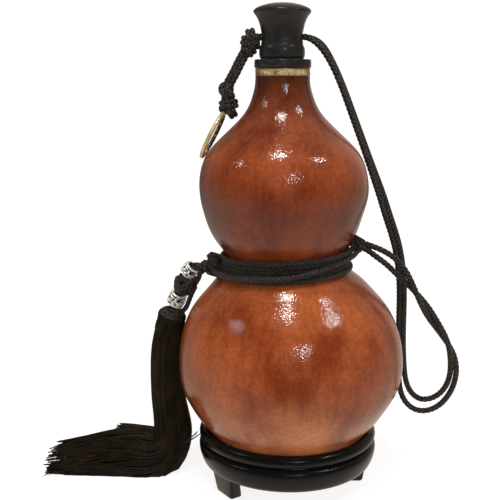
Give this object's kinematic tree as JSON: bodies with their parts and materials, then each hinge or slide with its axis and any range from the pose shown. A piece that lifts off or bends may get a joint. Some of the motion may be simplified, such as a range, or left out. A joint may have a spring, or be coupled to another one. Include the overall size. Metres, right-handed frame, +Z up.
{
  "type": "bottle gourd flask on a stand",
  "caption": "Lacquered dried bottle gourd flask with a turned stopper, a knotted carrying cord with ring, beads and tassel, seated in a turned three-footed ring stand.",
  "frame": {"origin": "on the surface that the stand's feet rest on, under the middle of the gourd's lower bulb", "axes": "+Z up along the gourd towards its stopper, +X towards the side where the carrying cord hangs, -Y towards the front"},
  "size_m": [0.2217, 0.1158, 0.2449],
  "materials": {
    "gourd_lacquer": "glossy clear lacquer over mottled red-brown gourd skin",
    "black_wood": "satin black turned wood",
    "band_brass": "pale hammered brass",
    "ring_brass": "aged brass",
    "bead_silver": "antiqued embossed silver",
    "cord_braid": "braided dark brown cord",
    "tassel_thread": "fine dark rayon threads"
  },
  "bodies": {
    "root": {"gourd_shell": "gourd_lacquer", "neck_band": "band_brass", "mouth_collar": "black_wood", "stopper": "black_wood", "display_stand": "black_wood", "waist_wraps": "cord_braid", "waist_crossing": "cord_braid", "waist_knot_right": "cord_braid", "waist_knot_left": "cord_braid", "carry_strand_a": "cord_braid", "carry_strand_b": "cord_braid", "link_strand_a": "cord_braid", "link_strand_b": "cord_braid", "stopper_knot": "cord_braid", "ring_knot_upper": "cord_braid", "ring_knot_lower": "cord_braid", "brass_ring": "ring_brass", "tassel_cord": "cord_braid", "silver_bead_upper": "bead_silver", "button_knot": "cord_braid", "silver_bead_lower": "bead_silver", "tassel_head": "tassel_thread", "tassel_skirt": "tassel_thread"}
  },
  "joints": []
}
